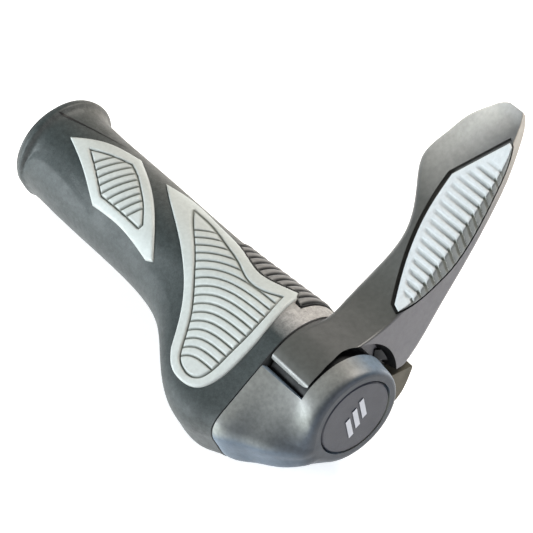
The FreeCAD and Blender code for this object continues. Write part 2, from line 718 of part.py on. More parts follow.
def clamp_bolt():
    """Socket head bolt, its head's bearing face at the sketch's origin, shank along +Z."""
    body = new_body("clamp_bolt")
    pad(body, circle(body, "XY_Plane", "shank_rim", "sizes.bolt_radius"), "sizes.bolt_length", "shank")
    doc.recompute()
    pad(body, circle(body, "XY_Plane", "head_rim", "sizes.head_radius"), "sizes.head_depth", "head",
        reverse=True)
    doc.recompute()
    socket = hexagon(body, "XY_Plane", "socket_outline", "sizes.socket_flats")
    socket.AttachmentOffset = Placement(Vector(0, 0, -size("head_depth")), Rotation())
    socket.setExpression("AttachmentOffset.Base.z", "-sizes.head_depth")
    pocket(body, socket, "socket", "sizes.head_depth / 2", reverse=True)
    drop = Placement(Vector(0, 0, -size("split_width") / 2 - size("seat_distance") - 0.02), Rotation())
    return keep(body, "clamp_bolt", ROLL.multiply(BOLT).multiply(drop))


# ---------------------------------------------------------------- assembly
core_sleeve()
plate = wing_plate()
doc.recompute()
screws = housing_screws()
inserts = [insert("palm_insert", PALM_OUTLINE), insert("thumb_insert", THUMB_OUTLINE), finger_insert()]
rubber_grip(inserts, plate)
end_housing(plate, screws)
end_plug()
badge_inlay()
core = horn_core()
pad_piece = horn_pad()
horn_cover(core, pad_piece)
clamp_nut()
bolt_washer()
clamp_bolt()
doc.recompute()

for item in doc.Objects:
    if {"Invalid", "Error"} & set(item.State):
        raise RuntimeError("%s is %s" % (item.Label, item.State))
for piece in parts:
    if piece.Shape.isNull() or not piece.Shape.isValid():
        raise RuntimeError("%s has no valid shape" % piece.Label)

os.makedirs("parts", exist_ok=True)
for piece in parts:
    piece.Shape.exportStep("parts/%s.step" % piece.Label)
    box = piece.Shape.optimalBoundingBox()
    print("%-16s %9.1f mm3  solids %d  x %.1f..%.1f  y %.1f..%.1f  z %.1f..%.1f" % (
        piece.Label, piece.Shape.Volume, len(piece.Shape.Solids),
        box.XMin, box.XMax, box.YMin, box.YMax, box.ZMin, box.ZMax))
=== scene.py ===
"""Bar end grip with a moulded-in horn: the looks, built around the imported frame.

Everything is in the frame of the CAD model, in metres. The short lists below are in
millimetres in the horn frame: x along the bar from the bore's mouth, q up along the
horn, and p out of the face that the thumb and palm rest on.
"""
import math

import bpy
import numpy as np
from mathutils import Matrix, Vector
from mathutils.bvhtree import BVHTree
from mathutils.geometry import delaunay_2d_cdt


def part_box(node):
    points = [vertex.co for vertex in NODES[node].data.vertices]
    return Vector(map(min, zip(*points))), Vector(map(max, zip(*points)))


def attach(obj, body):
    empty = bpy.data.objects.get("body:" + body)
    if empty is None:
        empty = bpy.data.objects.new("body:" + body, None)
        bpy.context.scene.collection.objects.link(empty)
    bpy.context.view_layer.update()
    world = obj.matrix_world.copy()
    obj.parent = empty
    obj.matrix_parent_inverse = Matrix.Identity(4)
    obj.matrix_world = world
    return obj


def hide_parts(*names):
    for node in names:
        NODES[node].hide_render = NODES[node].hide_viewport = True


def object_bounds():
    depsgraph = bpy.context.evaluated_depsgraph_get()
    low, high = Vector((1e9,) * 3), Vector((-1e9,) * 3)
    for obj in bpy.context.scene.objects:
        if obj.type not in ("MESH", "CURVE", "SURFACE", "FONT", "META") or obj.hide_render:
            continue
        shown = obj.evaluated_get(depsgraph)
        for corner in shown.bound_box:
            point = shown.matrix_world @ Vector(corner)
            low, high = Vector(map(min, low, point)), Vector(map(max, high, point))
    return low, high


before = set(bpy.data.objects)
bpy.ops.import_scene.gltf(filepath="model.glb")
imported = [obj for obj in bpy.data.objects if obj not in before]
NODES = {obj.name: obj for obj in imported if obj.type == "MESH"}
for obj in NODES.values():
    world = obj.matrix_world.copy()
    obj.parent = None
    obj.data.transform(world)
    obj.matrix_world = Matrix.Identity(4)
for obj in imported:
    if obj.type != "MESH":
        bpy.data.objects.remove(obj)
CAD_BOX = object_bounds()

MM = 0.001
HORN_RISE = math.radians(31.7)
P_DIR = np.array([0.0, -math.sin(HORN_RISE), math.cos(HORN_RISE)])
Q_DIR = np.array([0.0, math.cos(HORN_RISE), math.sin(HORN_RISE)])
X_DIR = np.array([1.0, 0.0, 0.0])
GRIP_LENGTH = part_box("end_housing")[1].x / MM


# ---------------------------------------------------------------- outlines

# The rows of a triangular grid lie this far apart, for points 1 apart in a row.
ROW_SPACING = 0.866
# Points that are measured at a time, which keeps the arrays small.
BATCH = 4000


def spline(points, step):
    """Points every step mm along a natural cubic spline through the given points."""
    pts = np.array(points, float)
    if len(pts) == 2:
        count = max(2, int(np.linalg.norm(pts[1] - pts[0]) / step) + 1)
        return pts[0] + (pts[1] - pts[0]) * np.linspace(0, 1, count)[:, None]
    chord = np.concatenate([[0], np.cumsum(np.linalg.norm(np.diff(pts, axis=0), axis=1))])
    gap = np.diff(chord)
    size = len(pts)
    matrix = np.zeros((size, size))
    right = np.zeros((size, 2))
    matrix[0, 0] = matrix[-1, -1] = 1
    for i in range(1, size - 1):
        matrix[i, i - 1:i + 2] = gap[i - 1], 2 * (gap[i - 1] + gap[i]), gap[i]
        right[i] = 6 * ((pts[i + 1] - pts[i]) / gap[i] - (pts[i] - pts[i - 1]) / gap[i - 1])
    bend = np.linalg.solve(matrix, right)
    where = np.linspace(0, chord[-1], max(3, int(chord[-1] / step) + 1))
    k = np.clip(np.searchsorted(chord, where, side="right") - 1, 0, size - 2)
    a = ((chord[k + 1] - where) / gap[k])[:, None]
    b = 1 - a
    h2 = (gap[k] ** 2)[:, None] / 6
    return a * pts[k] + b * pts[k + 1] + ((a ** 3 - a) * bend[k] + (b ** 3 - b) * bend[k + 1]) * h2


def closed_outline(runs, step=0.3):
    """One closed anticlockwise polyline through runs that each follow on from the last."""
    line = np.vstack([spline(run, step)[:-1] for run in runs])
    x, y = line[:, 0], line[:, 1]
    area = np.sum(x * np.roll(y, -1) - np.roll(x, -1) * y)
    return line if area > 0 else line[::-1]


def inset(line, distance):
    """The outline moved inwards, less the points that come too near another stretch."""
    along = np.roll(line, -1, axis=0) - np.roll(line, 1, axis=0)
    along /= np.linalg.norm(along, axis=1)[:, None]
    moved = line + np.stack([-along[:, 1], along[:, 0]], axis=1) * distance
    clear = distance_to(line, moved) > abs(distance) * 0.97 - 0.01
    return moved[clear & (inside(line, moved) if distance > 0 else True)]


def distance_to(line, points):
    """How far each point is from a closed polyline."""
    a, b = line, np.roll(line, -1, axis=0)
    run = b - a
    length2 = np.maximum((run ** 2).sum(1), 1e-12)
    best = np.full(len(points), 1e9)
    for start in range(0, len(points), BATCH):
        p = points[start:start + BATCH, None, :]
        t = np.clip(((p - a) * run).sum(2) / length2, 0, 1)
        near = a + run * t[:, :, None]
        best[start:start + BATCH] = np.sqrt(((p - near) ** 2).sum(2).min(1))
    return best


def inside(line, points):
    """Whether each point lies inside a closed polyline."""
    found = np.zeros(len(points), bool)
    a, b = line, np.roll(line, -1, axis=0)
    for (x0, y0), (x1, y1) in zip(a, b):
        if y0 == y1:
            continue
        crosses = (points[:, 1] >= min(y0, y1)) & (points[:, 1] < max(y0, y1))
        x = x0 + (points[:, 1] - y0) * (x1 - x0) / (y1 - y0)
        found ^= crosses & (points[:, 0] < x)
    return found


def hex_grid(line, step):
    """A triangular grid of points over an outline's box."""
    low, high = line.min(0), line.max(0)
    columns = np.arange(low[0], high[0] + step, step)
    grid = []
    for row, y in enumerate(np.arange(low[1], high[1], step * ROW_SPACING)):
        shifted = columns + (row % 2) * step / 2
        grid.append(np.stack([shifted, np.full_like(columns, y)], 1))
    return np.vstack(grid)


# ---------------------------------------------------------------- meshes

SHARP_DEGREES = 50


def new_object(name, vertices, faces):
    """A flat-shaded mesh object in the scene."""
    mesh = bpy.data.meshes.new(name)
    mesh.from_pydata([tuple(v) for v in vertices], [], faces)
    mesh.validate()
    mesh.update()
    made = bpy.data.objects.new(name, mesh)
    bpy.context.scene.collection.objects.link(made)
    return made


def tree_of(node):
    """A CAD node's surface, ready for rays."""
    mesh = NODES[node].data
    corners = [v.co.copy() for v in mesh.vertices]
    faces = [tuple(f.vertices) for f in mesh.polygons]
    return BVHTree.FromPolygons(corners, faces)


def inlay(name, node, outline, points, place, height, depth):
    """A moulded insert: a height field over an outline, laid on the CAD node's face.

    place turns outline points into points outside the part and directions into it.
    height gives how far each point stands off the face, in mm, and how deep in a
    groove it lies, from 0 to 1, kept as the groove value that the finishes paint as
    shade. The sides and the back close the mesh.
    """
    flat, faces = triangles(outline, points)
    starts, inwards = place(flat)
    travel = travels(node, flat, starts, inwards)
    stand, groove = height(flat)
    top = starts + inwards * (travel - stand * MM)[:, None]
    back = starts + inwards * (travel + depth * MM)[:, None]
    count = len(flat)
    walls = [[b, a, a + count, b + count] for a, b in boundary(faces)]
    backs = [[v + count for v in reversed(face)] for face in faces]
    made = new_object(name, np.vstack([top, back]), faces + walls + backs)
    # The groove value, which the finishes paint as shade.
    value = np.concatenate([groove, np.zeros(count)]).astype(np.float32)
    made.data.attributes.new("groove", "FLOAT", "POINT").data.foreach_set("value", value)
    if np.array(made.data.polygons[0].normal) @ inwards[faces[0][0]] > 0:
        made.data.flip_normals()
    sharpen(made)
    return made


def triangles(outline, points):
    """The outline filled with triangles that use the given points."""
    rim = len(outline)
    flat = [Vector(point) for point in np.vstack([outline, points])]
    edges = [(i, (i + 1) % rim) for i in range(rim)]
    found = delaunay_2d_cdt(flat, edges, [], 1, 1e-4)
    return np.array([tuple(point) for point in found[0]]), [list(face) for face in found[2]]


def travels(node, flat, starts, inwards):
    """How far each ray goes to the CAD node; one that misses goes as far as its neighbour."""
    tree = tree_of(node)
    met = np.full((len(flat), 3), np.nan)
    for i, (start, inward) in enumerate(zip(starts, inwards)):
        hit = tree.ray_cast(Vector(start), Vector(inward))[0]
        if hit is not None:
            met[i] = hit
    missed = np.isnan(met[:, 0])
    travel = np.einsum("ij,ij->i", np.where(missed[:, None], 0, met) - starts, inwards)
    for i in np.flatnonzero(missed):
        gap = ((flat - flat[i]) ** 2).sum(1) + missed * 1e9
        travel[i] = travel[np.argmin(gap)]
    return travel


def boundary(faces):
    """The edges that only one face has, in that face's direction."""
    used = set()
    for face in faces:
        for a, b in zip(face, face[1:] + face[:1]):
            used.add((a, b))
    return [(a, b) for a, b in used if (b, a) not in used]


def sharpen(piece):
    """Smooth shading, except across edges sharper than SHARP_DEGREES."""
    piece.data.polygons.foreach_set("use_smooth", [True] * len(piece.data.polygons))
    piece.data.set_sharp_from_angle(angle=math.radians(SHARP_DEGREES))


def settle(piece, body, slot, material, *nodes):
    """Gives a piece its finish, the body it moves with and the nodes it stands for."""
    piece.data.materials.append(material)
    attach(piece, body)
    if nodes:
        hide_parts(*nodes)


# ---------------------------------------------------------------- materials

ROUGHNESS_PER_METRE, ROUGHNESS_CHANGE = 220, 0.07
# The horn's pad lies outboard of this x, and the palm and thumb pads inboard of it.
PAD_INBOARD = 117
# Along the top face, square to the edge between the horn's blade and its pad.
BLADE_RIDGE = 0.963 * X_DIR - 0.271 * Q_DIR


class Finish:
    """A procedural material: tinted, mottled and grained from its own nodes."""

    def __init__(self, name, colour, roughness, specular=0.5, metallic=0.0):
        self.material = bpy.data.materials.new(name)
        self.material.use_nodes = True
        self.tree = self.material.node_tree
        self.shader = self.tree.nodes["Principled BSDF"]
        self.shader.inputs["Specular IOR Level"].default_value = specular
        self.shader.inputs["Metallic"].default_value = metallic
        self.place = self.tree.nodes.new("ShaderNodeTexCoord").outputs["Object"]
        base = self.tree.nodes.new("ShaderNodeRGB")
        base.outputs[0].default_value = (*colour, 1)
        self.colour = base.outputs[0]
        self.roughness = roughness
        self.bump = None

    def link(self, start, end):
        self.tree.links.new(start, end)

    def noise(self, per_metre, detail=3.0, stretch=None):
        """Noise fixed to the part, drawn out along its axes by stretch."""
        node = self.tree.nodes.new("ShaderNodeTexNoise")
        node.inputs["Scale"].default_value = per_metre
        node.inputs["Detail"].default_value = detail
        node.inputs["Roughness"].default_value = 0.55
        place = self.place
        if stretch:
            mapping = self.tree.nodes.new("ShaderNodeMapping")
            mapping.inputs["Scale"].default_value = stretch
            self.link(place, mapping.inputs["Vector"])
            place = mapping.outputs["Vector"]
        self.link(place, node.inputs["Vector"])
        return node.outputs["Fac"]

    def spread(self, value, low, high, start=0.3, end=0.7):
        """Goes from low to high as a value goes from start to end."""
        node = self.tree.nodes.new("ShaderNodeMapRange")
        node.inputs["From Min"].default_value = start
        node.inputs["From Max"].default_value = end
        node.inputs["To Min"].default_value = low
        node.inputs["To Max"].default_value = high
        self.link(value, node.inputs["Value"])
        return node.outputs["Result"]

    def attribute(self, name):
        """A value that the mesh holds for each of its points."""
        node = self.tree.nodes.new("ShaderNodeAttribute")
        node.attribute_name = name
        return node.outputs["Fac"]

    def normal(self):
        """The surface's normal in the part's own directions."""
        geometry = self.tree.nodes.new("ShaderNodeNewGeometry")
        turn = self.tree.nodes.new("ShaderNodeVectorTransform")
        turn.vector_type, turn.convert_from, turn.convert_to = "NORMAL", "WORLD", "OBJECT"
        self.link(geometry.outputs["Normal"], turn.inputs["Vector"])
        return turn.outputs["Vector"]

    def dot(self, vector):
        """A dot product node with its first vector linked."""
        node = self.tree.nodes.new("ShaderNodeVectorMath")
        node.operation = "DOT_PRODUCT"
        self.link(vector, node.inputs[0])
        return node

    def facing(self, direction):
        """How far the surface faces a direction fixed in the part, from -1 to 1."""
        node = self.dot(self.normal())
        node.inputs[1].default_value = direction
        return node.outputs["Value"]

    def facing_bar(self):
        """How far the surface faces the bar's axis, from -1 to 1."""
        inward = self.tree.nodes.new("ShaderNodeVectorMath")
        inward.operation = "MULTIPLY"
        inward.inputs[1].default_value = (0, -1, -1)
        self.link(self.place, inward.inputs[0])
        unit = self.tree.nodes.new("ShaderNodeVectorMath")
        unit.operation = "NORMALIZE"
        self.link(inward.outputs["Vector"], unit.inputs[0])
        node = self.dot(self.normal())
        self.link(unit.outputs["Vector"], node.inputs[1])
        return node.outputs["Value"]

    def beyond(self, direction, start, end):
        """From 0 to 1 as a point of the part goes from start to end mm along a direction."""
        node = self.dot(self.place)
        node.inputs[1].default_value = direction
        return self.spread(node.outputs["Value"], 0.0, 1.0, start * MM, end * MM)

    def both(self, first, second):
        """High only where both values are high."""
        node = self.tree.nodes.new("ShaderNodeMath")
        node.operation, node.use_clamp = "MULTIPLY", True
        self.link(first, node.inputs[0])
        self.link(second, node.inputs[1])
        return node.outputs["Value"]

    def tint(self, factor, colour, amount=1.0):
        """Mixes a colour in where the factor is high."""
        node = self.tree.nodes.new("ShaderNodeMix")
        node.data_type = "RGBA"
        scaled = self.spread(factor, 0.0, amount, 0.0, 1.0)
        self.link(scaled, node.inputs["Factor"])
        self.link(self.colour, node.inputs["A"])
        node.inputs["B"].default_value = (*colour, 1)
        self.colour = node.outputs["Result"]
        return self

    def mottle(self, per_metre, amount):
        """Makes the colour a little lighter and darker in patches."""
        node = self.tree.nodes.new("ShaderNodeHueSaturation")
        value = self.spread(self.noise(per_metre), 1 - amount, 1 + amount)
        self.link(value, node.inputs["Value"])
        self.link(self.colour, node.inputs["Color"])
        self.colour = node.outputs["Color"]
        return self

    def grain(self, per_metre, depth_mm, detail=2.0, stretch=None):
        """A fine moulded or brushed texture in the surface."""
        node = self.tree.nodes.new("ShaderNodeBump")
        node.inputs["Distance"].default_value = depth_mm * MM
        self.link(self.noise(per_metre, detail, stretch=stretch), node.inputs["Height"])
        if self.bump:
            self.link(self.bump, node.inputs["Normal"])
        self.bump = node.outputs["Normal"]
        return self

    def finished(self):
        """Links what was built to the shader, with a slightly uneven roughness."""
        low, high = self.roughness - ROUGHNESS_CHANGE, self.roughness + ROUGHNESS_CHANGE
        uneven = self.spread(self.noise(ROUGHNESS_PER_METRE), low, high)
        self.link(uneven, self.shader.inputs["Roughness"])
        self.link(self.colour, self.shader.inputs["Base Color"])
        if self.bump:
            self.link(self.bump, self.shader.inputs["Normal"])
        return self.material


def rubber_finish():
    """Painted shade makes the top face darkest; painted light makes it paler towards the fingers and
    palest beside the horn's root.
    """
    made = Finish("soft_rubber", (0.088, 0.092, 0.091), 0.52, 0.32)
    # Painted light: faces turned up along the horn are paler and warmer.
    made.tint(made.facing(Q_DIR), (0.125, 0.118, 0.104), 0.7)
    # Painted shade: the top face is darker.
    made.tint(made.facing(P_DIR), (0.028, 0.036, 0.036), 0.97)
    # Painted light: the rubber beside the horn's root is palest.
    painted_light_by_horn = made.both(made.beyond(X_DIR, 106, 116), made.beyond(Q_DIR, 2, 10))
    made.tint(painted_light_by_horn, (0.36, 0.345, 0.33), 0.95)
    made.mottle(38, 0.10).mottle(700, 0.22).mottle(2200, 0.18)
    return made.grain(3200, 0.05).grain(900, 0.03).finished()


def light_finish():
    """Pale; on the horn, painted light on the pad's upper facet and painted shade making its outboard
    facet greyer; olive painted shade in the grooves.
    """
    made = Finish("light_elastomer", (0.43, 0.455, 0.44), 0.5, 0.35)
    on_horn = made.beyond(X_DIR, PAD_INBOARD, PAD_INBOARD + 1)
    # Painted light: the pad's upper facet on the horn is paler.
    made.tint(made.both(on_horn, made.facing(P_DIR)), (0.52, 0.545, 0.56), 0.95)
    # Painted shade: the pad's outboard facet on the horn is greyer.
    outboard = made.spread(made.facing(X_DIR), 0.0, 1.0, 0.55, 0.8)
    made.tint(made.both(on_horn, outboard), (0.10, 0.115, 0.115), 0.95)
    # Painted shade in the grooves, olive.
    made.tint(made.attribute("groove"), (0.075, 0.08, 0.062), 0.9)
    return made.mottle(60, 0.04).mottle(900, 0.06).grain(3600, 0.02).finished()


def dark_finish():
    """Dark grey ribs with black painted shade in the grooves between them."""
    made = Finish("dark_elastomer", (0.17, 0.165, 0.16), 0.5, 0.4)
    # Painted shade: the grooves are black.
    made.tint(made.attribute("groove"), (0.004, 0.004, 0.004), 1.0)
    return made.mottle(80, 0.08).mottle(900, 0.1).grain(3200, 0.03).finished()


def housing_finish():
    """Blue-grey, with painted light making the top face warmer and painted shade making the outboard
    face near black.
    """
    made = Finish("housing_plastic", (0.145, 0.19, 0.24), 0.4, 0.4)
    above, outboard = made.facing(P_DIR), made.facing(X_DIR)
    # Painted light: the top face is warmer and lighter.
    made.tint(made.spread(above, 0.0, 1.0, 0.5, 0.8), (0.17, 0.17, 0.155), 0.95)
    # Painted highlight along the crease between the top face and the front face.
    crease_highlight = made.spread(made.both(above, made.facing(-Q_DIR)), 0.0, 1.0, 0.3, 0.46)
    made.tint(crease_highlight, (0.36, 0.38, 0.35), 0.8)
    # Painted shade in the valley between the top face and the outboard face.
    valley_shade = made.spread(made.both(above, outboard), 0.0, 1.0, 0.22, 0.45)
    made.tint(valley_shade, (0.04, 0.05, 0.062), 0.55)
    # Painted shade: the outboard face is near black.
    made.tint(outboard, (0.012, 0.019, 0.03), 1.0)
    return made.mottle(45, 0.1).mottle(800, 0.16).grain(4200, 0.02).finished()


def horn_finish():
    """Painted shade makes the top face dark near the root and painted light makes it pale towards the
    tip; cooler on the outboard face.
    """
    made = Finish("horn_skin", (0.085, 0.086, 0.098), 0.38, 0.5)
    on_top = made.facing(P_DIR)
    # Painted shade: the top face is darker.
    made.tint(on_top, (0.07, 0.071, 0.064), 0.95)
    # Painted light: the top face grows pale towards the tip.
    pale = made.both(on_top, made.beyond(Q_DIR, 60, 92))
    made.tint(pale, (0.56, 0.54, 0.50), 0.95)
    # Painted shade along the ridge beside the pad, near the tip.
    ridge = made.both(made.beyond(Q_DIR, 60, 76), made.beyond(BLADE_RIDGE, 88, 99))
    made.tint(made.both(on_top, ridge), (0.075, 0.073, 0.072), 0.95)
    # Painted light: the outboard face is warmer and paler towards the tip.
    made.tint(made.both(made.facing(X_DIR), made.beyond(Q_DIR, 60, 88)), (0.34, 0.31, 0.26), 0.8)
    # Painted highlight on the end face of the horn's root.
    made.tint(made.both(made.facing(-Q_DIR), made.beyond(-Q_DIR, -14, -8)), (0.30, 0.31, 0.30), 1.0)
    # Painted shade: faces turned towards the bar, in the arch round the collar, are near black.
    made.tint(made.facing_bar(), (0.005, 0.006, 0.008), 1.0)
    return made.mottle(40, 0.1).mottle(700, 0.1).grain(3600, 0.025).finished()


def composite_finish():
    """Near black round the bar as painted shade for the dark gap there, olive on the ears that stand out
    from it.
    """
    # Painted shade: the base is near black where the core lies in the gap round the bar.
    made = Finish("horn_composite", (0.006, 0.0065, 0.007), 0.5, 0.2)
    made.tint(made.beyond(-P_DIR, 7, 10), (0.08, 0.073, 0.055), 1.0)
    made.mottle(300, 0.15)
    return made.grain(1500, 0.02, stretch=(0.2, 1, 1)).finished()


def cap_finish():
    """Blue-black, close to the badge's disc."""
    made = Finish("cap_plastic", (0.013, 0.016, 0.028), 0.36, 0.4)
    return made.mottle(60, 0.08).mottle(900, 0.12).grain(4200, 0.015).finished()


def badge_finish():
    """Dark disc whose raised bars are pale."""
    made = Finish("badge_metal", (0.014, 0.017, 0.029), 0.34, 0.4)
    made.mottle(60, 0.06).mottle(900, 0.08)
    made.tint(made.beyond(X_DIR, GRIP_LENGTH + 0.05, GRIP_LENGTH + 0.2), (0.42, 0.44, 0.48), 1.0)
    return made.grain(2600, 0.006, stretch=(1, 1, 12)).finished()


def nylon_finish():
    """The sleeve and the wing plate, near black where they show."""
    made = Finish("nylon", (0.03, 0.03, 0.032), 0.4, 0.5)
    return made.mottle(90, 0.08).grain(2600, 0.02).finished()


def steel_finish():
    """Zinc-plated steel of the bolt, the washer and the screws."""
    made = Finish("steel", (0.42, 0.43, 0.45), 0.34, 0.5, metallic=1.0)
    return made.mottle(500, 0.08).grain(3000, 0.006).finished()


def dark_steel_finish():
    """Near-black steel of the clamp nut, dark as painted shade for the gap it sits in."""
    made = Finish("dark_steel", (0.05, 0.052, 0.055), 0.45, 0.5, metallic=1.0)
    return made.mottle(500, 0.1).grain(3000, 0.008).finished()


FINISHES = {
    "soft_rubber": rubber_finish(),
    "light_elastomer": light_finish(),
    "dark_elastomer": dark_finish(),
    "housing_plastic": housing_finish(),
    "horn_skin": horn_finish(),
    "horn_composite": composite_finish(),
    "cap_plastic": cap_finish(),
    "badge_metal": badge_finish(),
    "nylon": nylon_finish(),
    "steel": steel_finish(),
    "dark_steel": dark_steel_finish(),
}


# ---------------------------------------------------------------- ribbed inserts

# How far from the bar's axis the rays down onto the top face start.
RAY_START = 60
# The part of a full quarter round that an edge is rounded by.
RIM_ROUND = 0.96


def from_above(points):
    """Rays for outline points (x, q), cast down onto the top face."""
    starts = (points[:, :1] * X_DIR + points[:, 1:] * Q_DIR + RAY_START * P_DIR) * MM
    return starts, np.repeat(-P_DIR[None], len(points), axis=0)


def rounded_rim(distance, radius):
    """The drop, in mm, of an edge that is rounded over a radius."""
    short = np.clip(1 - distance / radius, 0, 1)
    return -radius * (1 - np.sqrt(1 - short ** 2 * RIM_ROUND))


def channel(distance, half_width, depth):
    """The drop, in mm, of a soft-edged groove whose middle is at distance 0."""
    return -depth * np.exp(-((distance / half_width) ** 2))


# Insets at which points follow the outline and the field's edge, and how far the grids
# of points keep away from both.
RIM_RINGS = (0.12, 0.3, 0.55, 0.85, 1.3)
TRENCH_RINGS = (-0.9, -0.6, -0.35, -0.15, 0.15, 0.35)
RIM_CLEAR, TRENCH_CLEAR, FIELD_CLEAR = 1.6, 1.2, 0.5


def feature_points(outline, inner, fine, coarse):
    """Points that follow both outlines, with a fine grid inside and a coarse one outside."""
    rings = [inset(outline, distance) for distance in RIM_RINGS]
    rings += [inset(inner, distance) for distance in TRENCH_RINGS] + [inner]
    grid = hex_grid(outline, coarse)
    grid = grid[inside(outline, grid)]
    band = grid[(distance_to(outline, grid) > RIM_CLEAR) & ~inside(inner, grid)]
    band = band[distance_to(inner, band) > TRENCH_CLEAR]
    field = hex_grid(inner, fine)
    field = field[inside(inner, field)]
    field = field[distance_to(inner, field) > FIELD_CLEAR]
    return np.vstack(rings + [band, field])


TRENCH_HALF_WIDTH, TRENCH_DEPTH = 0.36, 0.8
# Rib grooves drop this far in mm, and their painted shade is full at the second drop.
GROOVE_DEPTH, GROOVE_FULL_SHADE = 0.5, 0.6
# Ribs fall away by this much over this reach on either side of a groove.
CROWN_DROP, CROWN_REACH = 0.22, 1.15
INSERT_RIM, INSERT_DEPTH, INSERT_GAP = 0.75, 1.4, 0.1


def with_ribs(points, outline, inner, off, half_width):
    """An insert's height: rounded rim, trench round the field, and a groove where off is 0."""
    rim, edge = distance_to(outline, points), distance_to(inner, points)
    trench = channel(edge, TRENCH_HALF_WIDTH, TRENCH_DEPTH)
    crown = -CROWN_DROP * np.clip(1 - off / CROWN_REACH, 0, 1) ** 2
    ribs = channel(off, half_width, GROOVE_DEPTH) + crown
    grooves = np.where(inside(inner, points), ribs, 0)
    stand = rounded_rim(rim, INSERT_RIM) + np.minimum(trench, grooves)
    # How deep a point lies in the trench or a groove, from 0 to 1, for the finishes to paint as shade.
    depth = np.clip(-np.minimum(trench / TRENCH_DEPTH, grooves / GROOVE_FULL_SHADE), 0, 1)
    return stand, np.clip(depth * 1.25 - 0.25, 0, 1)


PALM_OUTLINE = [
    [(47, 13.4), (55, 14.9), (70, 14.9), (84, 14.0), (92, 12.6), (97, 12.2), (104, 13.6), (109.5, 15.4)],
    [(109.5, 15.4), (112, 13.5)],
    [(112, 13.5), (115.4, 2), (115.6, -10), (114.2, -19), (110.6, -24.5), (104.5, -26.2), (98, -24.8),
     (94, -21.4)],
    [(94, -21.4), (88.4, -12.8), (82.5, -6), (73.5, 1.2), (61.5, 7.4), (47, 13.4)],
]
PALM_FIELD = [
    [(61.8, 13.0), (68.7, 9.0), (75.2, 5.1), (79.6, 1.8), (85.7, -4.0), (91.3, -10.0), (97.3, -19.1),
     (99.3, -21.6), (102.8, -23.1), (106.4, -23.2), (109.1, -21.7), (110.6, -18.7), (111.4, -12.1),
     (112.1, -2.3), (111.6, 5.0), (109.4, 11.3)],
    [(109.4, 11.3), (105.3, 9.4), (100.3, 8.2), (95.7, 8.4), (89.6, 10.0), (81.1, 11.5), (71.4, 12.9),
     (61.8, 13.0)],
]
PALM_RIBS, PALM_GROOVE = 16, 0.34
# The rib numbers between which a point's own is looked for, and in how many halvings.
RIB_LOW, RIB_HIGH, RIB_HALVINGS = -6.0, 20.0, 24
SLOPE_STEP = 0.01


def palm_rib(number, x):
    """The height q of the palm's rib groove of that number, at x along the bar."""
    start_x = 70.1 + 2.45 * number - 0.034 * number ** 2
    start_q = 8.9 - 1.65 * number - 0.022 * number ** 2
    rise = 11.5 - 0.56 * number
    run = rise / (0.95 + 0.015 * number)
    return start_q + rise * (1 - np.exp(-(x - start_x) / run))


def palm_height(outline, inner):
    def height(points):
        x, q = points[:, 0], points[:, 1]
        low, high = np.full(len(points), RIB_LOW), np.full(len(points), RIB_HIGH)
        for _ in range(RIB_HALVINGS):
            middle = (low + high) / 2
            above = palm_rib(middle, x) > q
            low, high = np.where(above, middle, low), np.where(above, high, middle)
        number = np.clip(np.round(low), 0, PALM_RIBS - 1)
        rib = palm_rib(number, x)
        slope = (palm_rib(number, x + SLOPE_STEP) - rib) / SLOPE_STEP
        off = np.abs(rib - q) / np.sqrt(1 + slope ** 2)
        return with_ribs(points, outline, inner, off, PALM_GROOVE)
    return height


def palm_insert():
    outline = inset(closed_outline(PALM_OUTLINE), INSERT_GAP)
    inner = closed_outline(PALM_FIELD)
    points = feature_points(outline, inner, fine=0.26, coarse=0.6)
    height = palm_height(outline, inner)
    piece = inlay("palm_pad", "palm_insert", outline, points, from_above, height, INSERT_DEPTH)
    settle(piece, "grip", "light_elastomer", FINISHES["light_elastomer"], "palm_insert")


THUMB_OUTLINE = [
    [(12.5, 4.2), (22.5, 10.9), (33.6, 13.7)],
    [(33.6, 13.7), (45, 10.2), (55, 5.2), (63, -1.4), (67.6, -6.6)],
    [(67.6, -6.6), (64.6, -7.9)],
    [(64.6, -7.9), (50, -5.8), (36.4, -6.6)],
    [(36.4, -6.6), (24.7, -0.2), (12.5, 4.2)],
]
THUMB_FIELD = [
    [(21.4, 5.5), (28.0, 8.5), (35.0, 10.6)],
    [(35.0, 10.6), (40.2, 9.2), (45.6, 6.9), (51.0, 4.0), (56.4, -0.6)],
    [(56.4, -0.6), (56.1, -2.2)],
    [(56.1, -2.2), (46.5, -2.2), (37.3, -2.6)],
    [(37.3, -2.6), (29.6, 1.7), (21.4, 5.5)],
]
THUMB_FIRST_RIB, THUMB_RIB_PITCH, THUMB_RIB_LEAN = 25.0, 3.21, 0.47
THUMB_RIBS, THUMB_GROOVE = 9, 0.42


def thumb_height(outline, inner):
    def height(points):
        across = (points[:, 0] - THUMB_RIB_LEAN * points[:, 1] - THUMB_FIRST_RIB) / THUMB_RIB_PITCH
        number = np.clip(np.round(across), 0, THUMB_RIBS - 1)
        off = np.abs(across - number) * THUMB_RIB_PITCH / math.hypot(1, THUMB_RIB_LEAN)
        return with_ribs(points, outline, inner, off, THUMB_GROOVE)
    return height


def thumb_insert():
    outline = inset(closed_outline(THUMB_OUTLINE), INSERT_GAP)
    inner = closed_outline(THUMB_FIELD)
    points = feature_points(outline, inner, fine=0.28, coarse=0.6)
    height = thumb_height(outline, inner)
    piece = inlay("thumb_pad", "thumb_insert", outline, points, from_above, height, INSERT_DEPTH)
    settle(piece, "grip", "light_elastomer", FINISHES["light_elastomer"], "thumb_insert")


